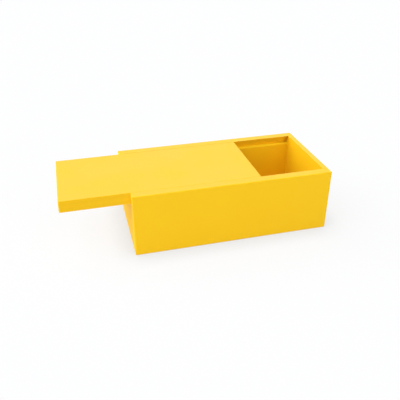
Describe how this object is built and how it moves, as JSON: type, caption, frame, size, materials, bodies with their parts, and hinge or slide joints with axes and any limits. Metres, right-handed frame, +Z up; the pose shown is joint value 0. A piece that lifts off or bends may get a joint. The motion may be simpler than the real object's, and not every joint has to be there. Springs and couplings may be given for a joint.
{
  "type": "sliding lid box",
  "caption": "Rectangular lacquered wood box with a flush lid that slides in undercut grooves along its long walls and draws out over a low end wall to open the storage space.",
  "frame": {"origin": "middle of the box's underside, on the floor panel's lower face", "axes": "+X along the box towards the full-height stop end, so the lid draws out towards -X; +Y towards the back wall; +Z up"},
  "size_m": [0.2785, 0.11, 0.068],
  "materials": {
    "yellow_lacquer": "satin yellow lacquer sprayed over smooth fibreboard",
    "brad_steel": "plain drawn wire"
  },
  "bodies": {
    "box": {"front_wall": "yellow_lacquer", "back_wall": "yellow_lacquer", "mouth_end_wall": "yellow_lacquer", "stop_end_wall": "yellow_lacquer", "floor_panel": "yellow_lacquer", "corner_brads": "brad_steel"},
    "lid": {"sliding_lid": "yellow_lacquer"}
  },
  "joints": [
    {"name": "lid_slide", "type": "slide", "parent": "box", "child": "lid", "axis": [-1, 0, 0], "range_m": [-0.0685, 0.137]}
  ]
}
